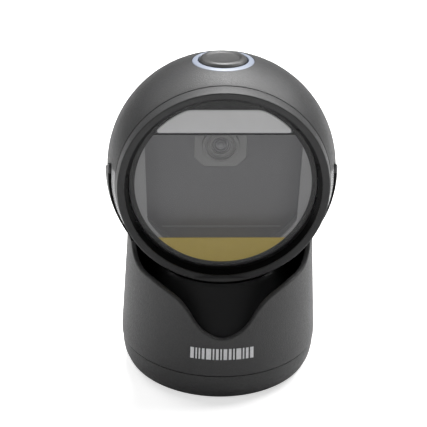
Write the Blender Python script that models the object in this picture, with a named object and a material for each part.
"""Hands-free presentation scanner: a ball-shaped reading head that tilts in a round weighted base.

Metres, +Z up. The origin is the centre of the base's underside and the front faces -Y.
Head pieces are modelled about the ball's centre, which is also the tilt axis.
"""

import math

import bmesh
import bpy
from mathutils import Matrix, Vector

MM = 0.001
GAP = 0.3 * MM

# Ball head
PIVOT_Z = 98.3 * MM
HOOD_R = 50.8 * MM
HOOD_WALL = 2.2 * MM
LOWER_BALL_R = 48.8 * MM
LOWER_BALL_WALL = 2.0 * MM
SEAM_DEPTH = 18.0 * MM
COLLAR_BACK = 12.9 * MM
HOOD_FRONT_EDGE = math.radians(31.0)
HOOD_REAR_EDGE = math.radians(-4.0)

# Window end of the head; depths are measured forwards from the ball's centre
BEZEL_FRONT = 23.9 * MM
BEZEL_FRONT_R = 46.6 * MM
BEZEL_LIP_R = 43.5 * MM
BEZEL_SEAM_R = 47.4 * MM
BEZEL_BORE_R = 44.7 * MM
WINDOW_FRONT = 20.5 * MM
WINDOW_R = 41.4 * MM
WINDOW_THICK = 1.8 * MM
FRAME_BORE_R = 41.7 * MM
MASK_FRONT = WINDOW_FRONT - WINDOW_THICK - GAP
MASK_THICK = 0.3 * MM
CLEAR_R = 39.0 * MM
CLEAR_TOP = 23.8 * MM
DIFFUSER_R = 40.6 * MM
DIFFUSER_LOW = 24.6 * MM
DIFFUSER_HIGH = 36.6 * MM
STRIP_TOP = -27.0 * MM
SENSOR_TOP = -26.9 * MM
SENSOR_HALF_WIDTH = 22.0 * MM

# Optical chamber and camera
CHAMBER_R = 40.2 * MM
CHAMBER_HALF_WIDTH = 35.0 * MM
CHAMBER_TOP = 24.4 * MM
CHAMBER_FRONT = MASK_FRONT - MASK_THICK - GAP
CHAMBER_BACK = 7.4 * MM
CHAMBER_WALL = 1.0 * MM
CAMERA_WIDTH = 23.0 * MM
CAMERA_LOW = 4.2 * MM
CAMERA_HIGH = 23.0 * MM
CAMERA_CHAMFER = 4.5 * MM
LENS_Z = 15.0 * MM
LENS_FRONT = 11.0 * MM

# Button, measured along its own axis, which leans back
BUTTON_LEAN = math.radians(6.0)
BUTTON_R = 10.6 * MM
BUTTON_DISH_R = 6.0 * MM
LIGHT_RING_R = 13.7 * MM
LIGHT_RING_BORE_R = 11.2 * MM
BUTTON_TOP = 50.9 * MM
BUTTON_SKIRT = 46.5 * MM
BUTTON_STEM_LOW = 43.4 * MM
SWITCH_TOP = 41.5 * MM
SWITCH_SIZE = 6.0 * MM
SWITCH_HEIGHT = 3.5 * MM
SWITCH_POCKET = 39.8 * MM

# Base
CUP_R = 51.7 * MM
CUP_INNER_R = 49.4 * MM
CUP_RIM_TILT = math.radians(30.0)
RIM_OFFSET = 0.15 * MM
EAR_FRONT = 11.6 * MM
EAR_TIP_R = 12.4 * MM
EAR_ROOT_Z = 66.0 * MM
BASE_WALL = 2.4 * MM
BASE_SEAM_Z = 14.3 * MM
CRADLE_LOW_R = 40.4 * MM
CRADLE_WAIST_R = 40.0 * MM
CRADLE_WAIST_Z = 33.0 * MM
CRADLE_WALL = 2.0 * MM
BOWL_R = 53.1 * MM
BOWL_LIP_R = 28.0 * MM
BOWL_OPENING_R = 12.0 * MM
BALLAST_R = 32.0 * MM
FOOT_PAD_R = 33.0 * MM
FOOT_PAD_THICK = 1.2 * MM
BASE_SCREW_CIRCLE = 20.0 * MM
POST_HALF_WIDTH = 5.0 * MM
POST_HALF_DEPTH = 3.5 * MM
POST_EYE_R = 4.5 * MM
POST_FLANGE_R = 25.0 * MM
POST_FLANGE_LOW = 13.6 * MM
POST_FLANGE_HIGH = 17.0 * MM
AXLE_R = 1.6 * MM
AXLE_HOLE_R = 1.95 * MM
CABLE_Z = 9.5 * MM
CABLE_R = 2.2 * MM

# Lower edge of the front opening: azimuth from the front in degrees, height above the table
OPENING_EDGE = (
    (0.0, 33.3 * MM),
    (11.0, 36.4 * MM),
    (17.0, 40.8 * MM),
    (22.0, 46.0 * MM),
    (29.0, 50.7 * MM),
    (45.0, 55.0 * MM),
    (63.0, 57.6 * MM),
    (72.0, 62.6 * MM),
    (74.5, 67.0 * MM),
)

STEPS = 40
RIM_STEPS = 48
SMALL_STEPS = 12
TURN = {
    "up": Matrix.Identity(4),
    "front": Matrix.Rotation(math.radians(90), 4, "X"),
    "side": Matrix.Rotation(math.radians(90), 4, "Y"),
}

for old in list(bpy.data.objects):
    bpy.data.objects.remove(old, do_unlink=True)


# ---------------------------------------------------------------- helpers


def material(name, colour, roughness, metallic=0.0, transmission=0.0):
    """A Principled material; colour is given as the 0..1 values a screen shows."""
    mat = bpy.data.materials.new(name)
    mat.use_nodes = True
    bsdf = mat.node_tree.nodes["Principled BSDF"]
    linear = [c / 12.92 if c <= 0.04045 else ((c + 0.055) / 1.055) ** 2.4 for c in colour]
    bsdf.inputs["Base Color"].default_value = (*linear, 1.0)
    bsdf.inputs["Roughness"].default_value = roughness
    bsdf.inputs["Metallic"].default_value = metallic
    bsdf.inputs["Transmission Weight"].default_value = transmission
    return mat


def add(bm, name, mat, parent=None):
    """Turns a bmesh into a named object with its faces pointing out."""
    bmesh.ops.remove_doubles(bm, verts=bm.verts, dist=1e-6)
    bmesh.ops.recalc_face_normals(bm, faces=bm.faces)
    mesh = bpy.data.meshes.new(name)
    bm.to_mesh(mesh)
    bm.free()
    mesh.shade_smooth()
    mesh.set_sharp_from_angle(angle=math.radians(35))
    obj = bpy.data.objects.new(name, mesh)
    bpy.context.scene.collection.objects.link(obj)
    obj.parent = parent
    if mat:
        mesh.materials.append(mat)
    return obj


def empty(name, location, tilt=0.0, parent=None):
    obj = bpy.data.objects.new(name, None)
    obj.location = location
    obj.rotation_euler.x = tilt
    obj.parent = parent
    bpy.context.scene.collection.objects.link(obj)
    return obj


def turned(name, profile, mat, parent=None, direction="up", centre=(0, 0, 0), steps=STEPS):
    """Spins an outline of (radius, height) points; an outline that starts on the axis stays open there."""
    bm = bmesh.new()
    verts = [bm.verts.new((r, 0.0, h)) for r, h in profile]
    pairs = list(zip(verts, verts[1:]))
    if profile[0][0] > 0.0:
        pairs.append((verts[-1], verts[0]))
    edges = [bm.edges.new(pair) for pair in pairs]
    bmesh.ops.spin(
        bm, geom=verts + edges, cent=(0, 0, 0), axis=(0, 0, 1), angle=math.tau, steps=steps, use_merge=True
    )
    bmesh.ops.transform(bm, matrix=Matrix.Translation(centre) @ TURN[direction], verts=bm.verts)
    return add(bm, name, mat, parent)


def rod(name, radius, low, high, mat, parent=None, direction="up", centre=(0, 0, 0), steps=SMALL_STEPS):
    profile = [(0.0, low), (radius, low), (radius, high), (0.0, high)]
    return turned(name, profile, mat, parent, direction, centre, steps)


def ring(name, inner, outer, low, high, mat, parent=None, direction="up", centre=(0, 0, 0), steps=STEPS):
    profile = [(inner, low), (outer, low), (outer, high), (inner, high)]
    return turned(name, profile, mat, parent, direction, centre, steps)


def block(name, low, high, mat, parent=None):
    """A box between two corners."""
    low, high = Vector(low), Vector(high)
    bm = bmesh.new()
    bmesh.ops.create_cube(bm, size=1.0)
    size = Matrix.Diagonal((*(high - low), 1.0))
    bmesh.ops.transform(bm, matrix=Matrix.Translation((low + high) / 2) @ size, verts=bm.verts)
    return add(bm, name, mat, parent)


def prism(name, outline, start, sweep, mat, parent=None):
    """Extrudes a flat outline of 3-D points by the vector sweep, after moving it by start."""
    bm = bmesh.new()
    face = bm.faces.new([bm.verts.new(Vector(p) + Vector(start)) for p in outline])
    side = bmesh.ops.extrude_face_region(bm, geom=[face])["geom"]
    bmesh.ops.translate(bm, vec=sweep, verts=[v for v in side if isinstance(v, bmesh.types.BMVert)])
    return add(bm, name, mat, parent)


def plate(name, outline, front, back, mat, parent):
    """An upright plate from an outline of (x, z) points, between two depths from the ball's centre."""
    points = [(x, 0.0, z) for x, z in outline]
    return prism(name, points, (0, -front, 0), (0, front - back, 0), mat, parent)


def hexagon(radius):
    angles = [math.radians(60 * i) for i in range(6)]
    return [(radius * math.cos(a), radius * math.sin(a)) for a in angles]


def cut_disc(radius, low, high, half_width=1.0, steps=24):
    """A disc's outline between two heights, no wider than half_width to each side."""
    start, end = math.asin(max(low / radius, -1.0)), math.asin(min(high / radius, 1.0))
    angles = [start + (end - start) * i / steps for i in range(steps + 1)]
    right = [(min(radius * math.cos(a), half_width), radius * math.sin(a)) for a in angles]
    left = [(-x, z) for x, z in reversed(right)]
    return right + [p for p in left if p[0] < -1e-6]


def chamfered(half_width, low, high, chamfer):
    """A plate outline whose two lower corners are cut off."""
    return [
        (-half_width + chamfer, low),
        (half_width - chamfer, low),
        (half_width, low + chamfer),
        (half_width, high),
        (-half_width, high),
        (-half_width, low + chamfer),
    ]


def ball_arc(radius, low, high, steps, centre=0.0):
    """(radius, height) points on a ball from height low to height high, both measured from its centre."""
    start, end = math.asin(low / radius), math.asin(high / radius)
    angles = [start + (end - start) * i / steps for i in range(steps + 1)]
    return [(max(radius * math.cos(a), 0.0), centre + radius * math.sin(a)) for a in angles]


def as_tool(obj):
    obj.hide_render = True
    obj.display_type = "WIRE"
    return obj


def boolean(target, tool, operation="DIFFERENCE"):
    modifier = target.modifiers.new(tool.name, "BOOLEAN")
    modifier.operation = operation
    modifier.solver = "EXACT"
    modifier.object = as_tool(tool)


def edge_height(azimuth):
    """Height of the front opening's lower edge at an azimuth in degrees, smooth between its points."""
    a = abs(azimuth)
    points = [(-OPENING_EDGE[1][0], OPENING_EDGE[1][1]), *OPENING_EDGE]
    for i in range(1, len(points) - 1):
        if a <= points[i + 1][0]:
            break
    (a0, h0), (a1, h1), (a2, h2) = points[i - 1 : i + 2]
    a3, h3 = points[i + 2] if i + 2 < len(points) else (2 * a2 - a1, 2 * h2 - h1)
    t = (a - a1) / (a2 - a1)
    slope1 = (h2 - h0) / (a2 - a0) * (a2 - a1)
    slope2 = (h3 - h1) / (a3 - a1) * (a2 - a1)
    return (
        (2 * t**3 - 3 * t**2 + 1) * h1
        + (t**3 - 2 * t**2 + t) * slope1
        + (3 * t**2 - 2 * t**3) * h2
        + (t**3 - t**2) * slope2
    )


# ---------------------------------------------------------------- materials

MATTE_SHELL = material("matte_charcoal_shell", (0.33, 0.33, 0.34), 0.62)
BEZEL_GREY = material("bezel_dark_grey", (0.26, 0.26, 0.27), 0.60)
GLOSS_BLACK = material("gloss_black", (0.05, 0.05, 0.055), 0.12)
SATIN_BLACK = material("satin_black", (0.06, 0.06, 0.06), 0.45)
CLEAR = material("clear_window", (0.9, 0.9, 0.9), 0.04, transmission=1.0)
MASK_INK = material("mask_ink", (0.18, 0.18, 0.18), 0.30)
DIFFUSER = material("frosted_diffuser", (0.66, 0.67, 0.68), 0.45)
GOLD_STRIP = material("gold_strip", (0.54, 0.49, 0.29), 0.40)
CHAMBER_GREY = material("chamber_grey", (0.36, 0.36, 0.37), 0.55)
CAMERA_GREY = material("camera_grey", (0.44, 0.44, 0.45), 0.50)
LENS_GLASS = material("lens_glass", (0.10, 0.10, 0.14), 0.03)
SENSOR_RED = material("sensor_window_smoke", (0.16, 0.10, 0.12), 0.10)
BUTTON_SMOKE = material("button_smoke", (0.40, 0.40, 0.41), 0.30)
LIGHT_RING = material("light_ring_white", (0.72, 0.74, 0.78), 0.35)
BOARD_GREEN = material("board_green", (0.08, 0.28, 0.14), 0.50)
CHIP_BLACK = material("chip_black", (0.07, 0.07, 0.07), 0.55)
LED_WHITE = material("led_white", (0.92, 0.90, 0.78), 0.25)
STEEL = material("steel", (0.60, 0.60, 0.60), 0.32, metallic=1.0)
FRAME_GREY = material("frame_grey", (0.30, 0.31, 0.32), 0.50)
NYLON = material("nylon_washer", (0.82, 0.80, 0.74), 0.50)
RUBBER = material("rubber_black", (0.07, 0.07, 0.07), 0.85)


# ---------------------------------------------------------------- base


def opening_tool():
    """Everything above the front opening's curved lower edge."""
    inner, outer, top = 25 * MM, 70 * MM, PIVOT_Z + 30 * MM
    limit = OPENING_EDGE[-1][0]
    bm = bmesh.new()
    count = 36
    sections = []
    for i in range(count + 1):
        azimuth = limit * (2 * i / count - 1)
        a, low = math.radians(azimuth), edge_height(azimuth)
        corners = [(inner, low), (outer, low), (outer, top), (inner, top)]
        sections.append([bm.verts.new((r * math.sin(a), -r * math.cos(a), z)) for r, z in corners])
    for one, two in zip(sections, sections[1:]):
        for k in range(4):
            bm.faces.new((one[k], one[(k + 1) % 4], two[(k + 1) % 4], two[k]))
    bm.faces.new(sections[0])
    bm.faces.new(sections[-1])
    return add(bm, "tool_opening", None)


def rim_tool(pivot):
    """Everything above the cup's tilted rim."""
    size = 80 * MM
    slab = block("tool_rim", (-size, -size, -RIM_OFFSET), (size, size, size), None, pivot)
    slab.rotation_euler.x = -CUP_RIM_TILT
    return slab


def ear_tool(pivot):
    """Everything in front of the cup's ears, whose tips are round about the tilt axis."""
    past = 80 * MM
    front_angle = math.acos(EAR_FRONT / EAR_TIP_R)
    top_angle = math.radians(50)
    outline = [(0, -past, EAR_ROOT_Z - PIVOT_Z), (0, -EAR_FRONT, EAR_ROOT_Z - PIVOT_Z)]
    for i in range(7):
        a = front_angle + (top_angle - front_angle) * i / 6
        outline.append((0, -EAR_TIP_R * math.cos(a), EAR_TIP_R * math.sin(a)))
    outline += [(0, outline[-1][1], past), (0, -past, past)]
    return prism("tool_ears", outline, (-past, 0, 0), (2 * past, 0, 0), None, pivot)


def build_base_shell(pivot):
    top = 8 * MM
    blend_low = 63 * MM
    outer_low = -28.3 * MM
    inner_r = 39.1 * MM
    inner_low = -math.sqrt(CUP_INNER_R**2 - inner_r**2)
    outer = [
        (43.2 * MM, BASE_SEAM_Z + GAP),
        (43.5 * MM, 19 * MM),
        (42.6 * MM, 41 * MM),
        (41.5 * MM, blend_low),
        (41.7 * MM, 66.4 * MM),
        (42.3 * MM, 68.6 * MM),
    ]
    inner = [(inner_r, blend_low), (40.2 * MM, 41 * MM), (41.0 * MM, 19 * MM), (40.8 * MM, BASE_SEAM_Z + GAP)]
    cup_outer = ball_arc(CUP_R, outer_low, top, 6, PIVOT_Z)
    cup_inner = list(reversed(ball_arc(CUP_INNER_R, inner_low, top, 6, PIVOT_Z)))
    shell = turned("base_shell", outer + cup_outer + cup_inner + inner, MATTE_SHELL)
    boolean(shell, rim_tool(pivot))
    boolean(shell, opening_tool())
    boolean(shell, ear_tool(pivot))


def build_bottom_cover():
    floor, recess, top = 0.5 * MM, FOOT_PAD_THICK + GAP, 4.2 * MM
    profile = [
        (0.0, recess),
        (FOOT_PAD_R + GAP, recess),
        (FOOT_PAD_R + GAP, floor),
        (37.4 * MM, floor),
        (40.2 * MM, 2.5 * MM),
        (42.2 * MM, 6.8 * MM),
        (43.1 * MM, BASE_SEAM_Z),
        (40.7 * MM, BASE_SEAM_Z),
        (39.3 * MM, 7.4 * MM),
        (36.8 * MM, 5.0 * MM),
        (34.6 * MM, top),
        (0.0, top),
    ]
    cover = turned("base_bottom_cover", profile, MATTE_SHELL)
    bore_r, head_bore_r, head_seat, past = 1.8 * MM, 3.2 * MM, 3.3 * MM, 3 * MM
    bore = [(0.0, -past), (head_bore_r, -past), (head_bore_r, head_seat), (bore_r, head_seat)]
    bore += [(bore_r, top + past), (0.0, top + past)]
    for i, (x, y) in enumerate(screw_places()):
        boolean(cover, turned(f"tool_bore_{i}", bore, None, centre=(x, y, 0), steps=SMALL_STEPS))
    centre = (0, 0, CABLE_Z)
    boolean(cover, rod("tool_cable_hole", 3.7 * MM, -60 * MM, -36 * MM, None, None, "front", centre))


def screw_places():
    for quarter in range(4):
        a = math.radians(45 + 90 * quarter)
        yield BASE_SCREW_CIRCLE * math.cos(a), BASE_SCREW_CIRCLE * math.sin(a)


def build_base_fasteners():
    for i, (x, y) in enumerate(screw_places()):
        head_low, head_high, tip = 1.7 * MM, 3.0 * MM, 16 * MM
        head_r, shank_r = 2.8 * MM, 1.4 * MM
        profile = [(0.0, head_low), (head_r, head_low), (head_r, head_high)]
        profile += [(shank_r, head_high), (shank_r, tip), (0.0, tip)]
        turned(f"base_screw_{i + 1}", profile, STEEL, centre=(x, y, 0), steps=SMALL_STEPS)


def build_foot_pad():
    edge = 0.5 * MM
    profile = [(0.0, 0.0), (FOOT_PAD_R - edge, 0.0), (FOOT_PAD_R, edge), (FOOT_PAD_R, FOOT_PAD_THICK)]
    turned("rubber_foot_pad", profile + [(0.0, FOOT_PAD_THICK)], RUBBER)


def build_ballast():
    ballast = rod("ballast_weight", BALLAST_R, 4.5 * MM, 13.0 * MM, STEEL, steps=STEPS)
    for i, (x, y) in enumerate(screw_places()):
        boolean(ballast, rod(f"tool_ballast_bore_{i}", 1.9 * MM, 0, 20 * MM, None, centre=(x, y, 0)))


def build_cradle():
    """A bowl under the ball; a cone slopes from its lip down to the inside of the base shell."""
    low, under_r = BASE_SEAM_Z + 3.7 * MM, BOWL_R + CRADLE_WALL
    lip_width, lip_drop, root = 1.0 * MM, 0.9 * MM, 1.4 * MM
    bowl_edge = -math.sqrt(BOWL_R**2 - BOWL_LIP_R**2)
    bowl_mouth = -math.sqrt(BOWL_R**2 - BOWL_OPENING_R**2)
    under_mouth = -math.sqrt(under_r**2 - BOWL_OPENING_R**2)
    under_edge = -math.sqrt(under_r**2 - (BOWL_LIP_R - root) ** 2)
    outer = [(CRADLE_LOW_R, low), (CRADLE_WAIST_R, CRADLE_WAIST_Z)]
    outer.append((BOWL_LIP_R + lip_width, PIVOT_Z + bowl_edge - lip_drop))
    bowl = list(reversed(ball_arc(BOWL_R, bowl_mouth, bowl_edge, 6, PIVOT_Z)))
    under = ball_arc(under_r, under_mouth, under_edge, 5, PIVOT_Z)
    inner = [(CRADLE_WAIST_R - CRADLE_WALL, CRADLE_WAIST_Z), (CRADLE_LOW_R - CRADLE_WALL, low)]
    turned("inner_cradle", outer + bowl + under + inner, GLOSS_BLACK)


def eye_outline(half_depth, radius, root, steps=12):
    """(depth, height) outline of an upright bar whose top is rounded about the origin."""
    start = -math.asin(math.sqrt(radius**2 - half_depth**2) / radius)
    angles = [start + (math.pi - 2 * start) * i / steps for i in range(steps + 1)]
    arc = [(radius * math.cos(a), radius * math.sin(a)) for a in angles]
    return [(-half_depth, root), (half_depth, root)] + arc


def build_hinge_post():
    post = rod("hinge_post", POST_FLANGE_R, POST_FLANGE_LOW, POST_FLANGE_HIGH, FRAME_GREY, steps=32)
    half_width = POST_HALF_WIDTH
    bar = eye_outline(POST_HALF_DEPTH, POST_EYE_R, 15 * MM - PIVOT_Z)
    points = [(-half_width, y, z + PIVOT_Z) for y, z in bar]
    boolean(post, prism("tool_column", points, (0, 0, 0), (2 * half_width, 0, 0), None), "UNION")
    centre = (0, 0, PIVOT_Z)
    boolean(post, rod("tool_axle_bore", AXLE_HOLE_R, -20 * MM, 20 * MM, None, None, "side", centre))
    for i, (x, y) in enumerate(screw_places()):
        boolean(post, rod(f"tool_post_bore_{i}", 1.75 * MM, 0, 20 * MM, None, centre=(x, y, 0)))


def build_axle():
    centre = (0, 0, PIVOT_Z)
    head_r, head_end, shoulder, tip = 3.2 * MM, -12.9 * MM, -10.7 * MM, 13.2 * MM
    profile = [(0.0, head_end), (head_r, head_end), (head_r, shoulder)]
    profile += [(AXLE_R, shoulder), (AXLE_R, tip), (0.0, tip)]
    turned("tilt_axle", profile, STEEL, direction="side", centre=centre, steps=SMALL_STEPS)
    for name, low in (("friction_washer_left", -7.1 * MM), ("friction_washer_right", 5.3 * MM)):
        high = low + 1.8 * MM
        ring(name, AXLE_HOLE_R, 4.3 * MM, low, high, NYLON, direction="side", centre=centre, steps=20)
    points = [(10.7 * MM, y, z + PIVOT_Z) for y, z in hexagon(3.4 * MM)]
    nut = prism("axle_nut", points, (0, 0, 0), (2.2 * MM, 0, 0), STEEL)
    boolean(nut, rod("tool_nut_bore", AXLE_HOLE_R, 0, 20 * MM, None, direction="side", centre=centre))


def cable_path():
    """(depth, height, slope) stations: straight out of the base, an S-bend to the table, straight again."""
    start, bend_start, end, low = 36 * MM, 54 * MM, 92 * MM, CABLE_R + GAP
    bend_r, steps = 30 * MM, 5
    turn = math.acos(1 - (CABLE_Z - low) / (2 * bend_r))
    reach = bend_r * math.sin(turn)
    yield start, CABLE_Z, 0.0
    for i in range(steps + 1):
        a = turn * i / steps
        yield bend_start + bend_r * math.sin(a), CABLE_Z - bend_r * (1 - math.cos(a)), -a
    for i in range(steps - 1, -1, -1):
        a = turn * i / steps
        yield bend_start + 2 * reach - bend_r * math.sin(a), low + bend_r * (1 - math.cos(a)), -a
    yield end, low, 0.0


def build_cable():
    """A captive cable leaves low at the back through its strain relief and is cut short on the table."""
    bore, tail_r, tail_end, root_r, root_end = CABLE_R + GAP, 2.9 * MM, -53 * MM, 3.4 * MM, -38 * MM
    profile = [(bore, tail_end), (tail_r, tail_end), (root_r, -45 * MM), (root_r, root_end), (bore, root_end)]
    centre = (0, 0, CABLE_Z)
    turned("strain_relief", profile, RUBBER, direction="front", centre=centre, steps=SMALL_STEPS)
    bm = bmesh.new()
    sides, sections = 10, []
    for y, z, slope in cable_path():
        angles = [math.tau * k / sides for k in range(sides)]
        offsets = [(CABLE_R * math.cos(a), CABLE_R * math.sin(a)) for a in angles]
        spots = [(x, y - up * math.sin(slope), z + up * math.cos(slope)) for x, up in offsets]
        sections.append([bm.verts.new(spot) for spot in spots])
    for one, two in zip(sections, sections[1:]):
        for k in range(sides):
            bm.faces.new((one[k], one[(k + 1) % sides], two[(k + 1) % sides], two[k]))
    bm.faces.new(sections[0])
    bm.faces.new(sections[-1])
    add(bm, "interface_cable", RUBBER)


# ---------------------------------------------------------------- head


def ball_shell(name, radius, wall, mat, pivot):
    """A ball's shell from just behind the bezel seam to the back; it is turned about the front-back axis."""
    front, steps = SEAM_DEPTH - GAP, 11
    outer = ball_arc(radius, -radius, front, steps)
    inner = list(reversed(ball_arc(radius - wall, wall - radius, front, steps)))
    return turned(name, outer + inner, mat, pivot, "front")


def recess_tool(name, pivot, clearance):
    """The part of the head behind the collar and below the hood's two straight edges.

    clearance shrinks it on every side, so that the ball inside it stays clear of the hood around it.
    """
    past = 80 * MM
    offset = RIM_OFFSET - clearance
    corner_r = COLLAR_BACK - clearance
    rear = Vector((math.cos(HOOD_REAR_EDGE), math.sin(HOOD_REAR_EDGE)))
    rear_up = Vector((-rear.y, rear.x))
    front_up = Vector((math.sin(HOOD_FRONT_EDGE), math.cos(HOOD_FRONT_EDGE)))
    apex = offset * (front_up + rear_up) / (1 + front_up.dot(rear_up))
    outline = [(-corner_r, -past)]
    for i in range(7):
        a = HOOD_FRONT_EDGE * i / 6
        outline.append((-corner_r * math.cos(a), corner_r * math.sin(a)))
    outline += [tuple(apex), tuple(apex + past * rear), (past, -past)]
    points = [(0, y, z) for y, z in outline]
    return prism(name, points, (-past, 0, 0), (2 * past, 0, 0), None, pivot)


def build_hood(pivot, button_axis):
    hood = ball_shell("head_hood", HOOD_R, HOOD_WALL, MATTE_SHELL, pivot)
    boolean(hood, recess_tool("tool_hood_recess", pivot, 0.0))
    boolean(hood, rod("tool_button_hole", LIGHT_RING_R + GAP, 40 * MM, 60 * MM, None, button_axis, steps=36))


def build_lower_ball(pivot):
    ball = ball_shell("lower_ball_shell", LOWER_BALL_R, LOWER_BALL_WALL, MATTE_SHELL, pivot)
    boolean(ball, recess_tool("tool_ball_recess", pivot, GAP), "INTERSECT")
    slot_half = POST_HALF_WIDTH + 1.2 * MM
    low, high = (-slot_half, -9 * MM, -60 * MM), (slot_half, 26 * MM, -36 * MM)
    boolean(ball, block("tool_post_slot", low, high, None, pivot))


def build_bezel(pivot):
    lip_back = BEZEL_FRONT - 0.6 * MM
    profile = [
        (BEZEL_SEAM_R, SEAM_DEPTH),
        (BEZEL_FRONT_R + 0.2 * MM, BEZEL_FRONT - 0.4 * MM),
        (BEZEL_FRONT_R - 0.2 * MM, BEZEL_FRONT),
        (BEZEL_LIP_R, BEZEL_FRONT),
        (BEZEL_LIP_R, lip_back),
        (BEZEL_BORE_R, lip_back),
        (BEZEL_BORE_R, SEAM_DEPTH),
    ]
    turned("bezel_ring", profile, BEZEL_GREY, pivot, "front", steps=RIM_STEPS)
    frame_front, frame_back = lip_back - GAP, SEAM_DEPTH
    frame_r = BEZEL_BORE_R - GAP
    profile = [
        (frame_r, frame_front),
        (BEZEL_LIP_R, frame_front),
        (FRAME_BORE_R, WINDOW_FRONT + GAP),
        (FRAME_BORE_R, frame_back),
        (frame_r, frame_back),
    ]
    turned("window_frame", profile, GLOSS_BLACK, pivot, "front", steps=RIM_STEPS)


def build_window(pivot):
    back = WINDOW_FRONT - WINDOW_THICK
    rod("window_panel", WINDOW_R, back, WINDOW_FRONT, CLEAR, pivot, "front", steps=RIM_STEPS)
    mask_back = MASK_FRONT - MASK_THICK
    mask_r = WINDOW_R - 0.1 * MM
    mask = rod("window_mask", mask_r, mask_back, MASK_FRONT, MASK_INK, pivot, "front", steps=RIM_STEPS)
    past = 2 * MM
    clear = cut_disc(CLEAR_R, -CLEAR_R, CLEAR_TOP)
    light = cut_disc(DIFFUSER_R, DIFFUSER_LOW, DIFFUSER_HIGH, steps=6)
    boolean(mask, plate("tool_clear_zone", clear, MASK_FRONT + past, mask_back - past, None, pivot))
    boolean(mask, plate("tool_light_zone", light, MASK_FRONT + past, mask_back - past, None, pivot))
    strip = cut_disc(CLEAR_R - GAP, GAP - CLEAR_R, STRIP_TOP, steps=10)
    plate("window_strip", strip, MASK_FRONT, mask_back, GOLD_STRIP, pivot)
    light = cut_disc(DIFFUSER_R - GAP, DIFFUSER_LOW + GAP, DIFFUSER_HIGH - GAP, steps=6)
    plate("light_diffuser", light, MASK_FRONT, MASK_FRONT - 1.5 * MM, DIFFUSER, pivot)


def build_chamber(pivot):
    outline = cut_disc(CHAMBER_R, -CHAMBER_R, CHAMBER_TOP, CHAMBER_HALF_WIDTH, 18)
    chamber = plate("optical_chamber", outline, CHAMBER_FRONT, CHAMBER_BACK, CHAMBER_GREY, pivot)
    wall = CHAMBER_WALL
    cavity = cut_disc(CHAMBER_R - wall, wall - CHAMBER_R, CHAMBER_TOP - wall, CHAMBER_HALF_WIDTH - wall, 18)
    boolean(chamber, plate("tool_cavity", cavity, CHAMBER_FRONT + wall, CHAMBER_BACK + wall, None, pivot))
    opening = chamfered(CAMERA_WIDTH / 2 + GAP, CAMERA_LOW - GAP, CAMERA_HIGH + GAP, CAMERA_CHAMFER)
    boolean(chamber, plate("tool_camera_hole", opening, CHAMBER_FRONT + wall, 0, None, pivot))
    sensor_low = SENSOR_TOP - 3 * MM
    sensor_back = CHAMBER_BACK + wall + GAP
    low = (-SENSOR_HALF_WIDTH, -sensor_back - 1 * MM, sensor_low)
    block("sensor_window", low, (SENSOR_HALF_WIDTH, -sensor_back, SENSOR_TOP), SENSOR_RED, pivot)


def build_camera(pivot):
    plate_front = CHAMBER_BACK + CHAMBER_WALL
    outline = chamfered(CAMERA_WIDTH / 2, CAMERA_LOW, CAMERA_HIGH, CAMERA_CHAMFER)
    plate("camera_plate", outline, plate_front, CHAMBER_BACK, CAMERA_GREY, pivot)
    centre = (0, 0, LENS_Z)
    seat = plate_front + GAP
    ring("lens_barrel", 6.6 * MM, 8.2 * MM, seat, LENS_FRONT, SATIN_BLACK, pivot, "front", centre, 24)
    inner_r, outer_r = 3.9 * MM, 6.3 * MM
    profile = [(inner_r, seat), (outer_r, seat), (outer_r, LENS_FRONT - 0.5 * MM)]
    profile.append((inner_r, LENS_FRONT - 1.2 * MM))
    turned("lens_ring", profile, CAMERA_GREY, pivot, "front", centre, 24)
    glass = [(0.0, seat), (3.6 * MM, seat), (3.6 * MM, 9.3 * MM), (2.3 * MM, 9.8 * MM), (0.0, 10.0 * MM)]
    turned("lens_glass", glass, LENS_GLASS, pivot, "front", centre, 20)
    sensor_front, sensor_back = CHAMBER_BACK - GAP, CHAMBER_BACK - 1.5 * MM
    half = 3.5 * MM
    low, high = (-half, -sensor_front, LENS_Z - half), (half, -sensor_back, LENS_Z + half)
    block("image_sensor", low, high, CHIP_BLACK, pivot)
    board_front = sensor_back - GAP
    low = (-11 * MM, -board_front, 5.5 * MM)
    block("imager_board", low, (11 * MM, 1.4 * MM - board_front, 22.3 * MM), BOARD_GREEN, pivot)


def build_lights(pivot):
    board_front, board_back = 9.6 * MM, 8.4 * MM
    half_width, low_z, high_z = 24 * MM, 25.5 * MM, 36 * MM
    low, high = (-half_width, -board_front, low_z), (half_width, -board_back, high_z)
    block("light_board", low, high, BOARD_GREEN, pivot)
    count, pitch, half = 6, 7.6 * MM, 1.5 * MM
    led_back, led_front, centre_z = board_front + GAP, board_front + GAP + 1.2 * MM, 30.5 * MM
    for i in range(count):
        x = (i - (count - 1) / 2) * pitch
        low, high = (x - half, -led_front, centre_z - half), (x + half, -led_back, centre_z + half)
        block(f"led_{i + 1}", low, high, LED_WHITE, pivot)


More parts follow.
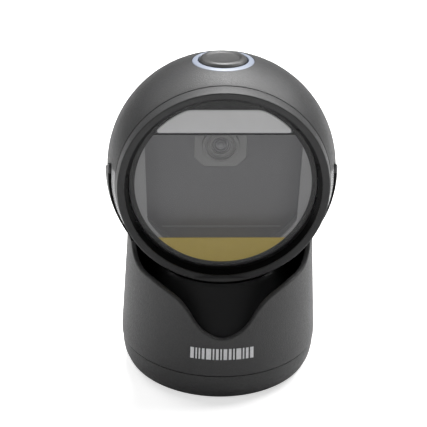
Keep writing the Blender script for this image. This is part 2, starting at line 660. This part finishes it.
def build_frame(pivot):
    plate_front, plate_back, lug_inner, lug_outer = 9 * MM, 11 * MM, 7.4 * MM, 10.4 * MM
    low, high = (-22 * MM, plate_front, -5 * MM), (22 * MM, plate_back, 24 * MM)
    frame = block("head_frame", low, high, FRAME_GREY, pivot)
    lug_r, root = 4.6 * MM, plate_front + 0.8 * MM
    angles = [math.radians(90 + 15 * i) for i in range(13)]
    lug = [(root, -lug_r), (root, lug_r)] + [(lug_r * math.cos(a), lug_r * math.sin(a)) for a in angles]
    for name, side in (("left", -lug_outer), ("right", lug_inner)):
        points = [(side, y, z) for y, z in lug]
        lug_tool = prism(f"tool_lug_{name}", points, (0, 0, 0), (lug_outer - lug_inner, 0, 0), None, pivot)
        boolean(frame, lug_tool, "UNION")
    boolean(frame, rod("tool_lug_bore", AXLE_HOLE_R, -20 * MM, 20 * MM, None, pivot, "side"))
    for i, x in enumerate((-17 * MM, 17 * MM)):
        centre = (x, 0, 8 * MM)
        boolean(frame, rod(f"tool_frame_bore_{i}", 1.6 * MM, -20 * MM, 0, None, pivot, "front", centre))
        tip, seat, end = -3 * MM, -11.3 * MM, -13.2 * MM
        shank_r, head_r = 1.2 * MM, 2.6 * MM
        profile = [(0.0, end), (head_r, end), (head_r, seat), (shank_r, seat), (shank_r, tip), (0.0, tip)]
        turned(f"head_screw_{i + 1}", profile, STEEL, pivot, "front", centre, SMALL_STEPS)


def build_electronics(pivot):
    front, back = 14.0 * MM, 15.6 * MM
    block("main_board", (-26 * MM, front, -10 * MM), (26 * MM, back, 26 * MM), BOARD_GREEN, pivot)
    chip_half, chip_x, chip_z = 7 * MM, -11 * MM, 6 * MM
    low = (chip_x - chip_half, back + GAP, chip_z - chip_half)
    block("processor_chip", low, (chip_x + chip_half, back + 1.8 * MM, chip_z + chip_half), CHIP_BLACK, pivot)
    beeper_low, beeper_high = -back - 5.3 * MM, -back - GAP
    profile = [
        (0.0, beeper_low + 1.5 * MM),
        (1.2 * MM, beeper_low + 1.5 * MM),
        (1.2 * MM, beeper_low),
        (6 * MM, beeper_low),
        (6 * MM, beeper_high),
        (0.0, beeper_high),
    ]
    turned("beeper", profile, CHIP_BLACK, pivot, "front", (13 * MM, 0, 8 * MM), 24)


def build_button(button_axis, press):
    ring_low, ring_inner_top, ring_outer_top = 44 * MM, 49.6 * MM, 48.9 * MM
    profile = [
        (LIGHT_RING_BORE_R, ring_low),
        (LIGHT_RING_R, ring_low),
        (LIGHT_RING_R, ring_outer_top),
        (LIGHT_RING_BORE_R, ring_inner_top),
    ]
    turned("light_ring", profile, LIGHT_RING, button_axis)
    stem_r = 2.2 * MM
    cap = [
        (0.0, BUTTON_STEM_LOW),
        (stem_r, BUTTON_STEM_LOW),
        (stem_r, BUTTON_SKIRT),
        (BUTTON_R, BUTTON_SKIRT),
        (BUTTON_R, BUTTON_TOP - 0.9 * MM),
        (BUTTON_R - 0.9 * MM, BUTTON_TOP - 0.1 * MM),
        (BUTTON_DISH_R + 1 * MM, BUTTON_TOP),
        (BUTTON_DISH_R, BUTTON_TOP - 0.4 * MM),
        (0.0, BUTTON_TOP - 0.5 * MM),
    ]
    turned("trigger_button", cap, BUTTON_SMOKE, press, steps=32)
    rod("button_board", 13 * MM, 36.2 * MM, 37.6 * MM, BOARD_GREEN, button_axis, steps=32)
    half, low = SWITCH_SIZE / 2, SWITCH_TOP - SWITCH_HEIGHT
    body = block("switch_body", (-half, -half, low), (half, half, SWITCH_TOP), CHIP_BLACK, button_axis)
    boolean(body, rod("tool_switch_pocket", 1.9 * MM, SWITCH_POCKET, 50 * MM, None, button_axis))
    rod("switch_plunger", 1.6 * MM, 40.9 * MM, BUTTON_STEM_LOW - GAP, SATIN_BLACK, press)


def build():
    pivot = empty("head_pivot", (0, 0, PIVOT_Z))
    button_axis = empty("button_axis", (0, 0, 0), -BUTTON_LEAN, pivot)
    press = empty("button_press", (0, 0, 0), 0.0, button_axis)
    build_base_shell(pivot)
    build_bottom_cover()
    build_base_fasteners()
    build_foot_pad()
    build_ballast()
    build_cradle()
    build_hinge_post()
    build_axle()
    build_cable()
    build_hood(pivot, button_axis)
    build_lower_ball(pivot)
    build_bezel(pivot)
    build_window(pivot)
    build_chamber(pivot)
    build_camera(pivot)
    build_lights(pivot)
    build_frame(pivot)
    build_electronics(pivot)
    build_button(button_axis, press)


build()
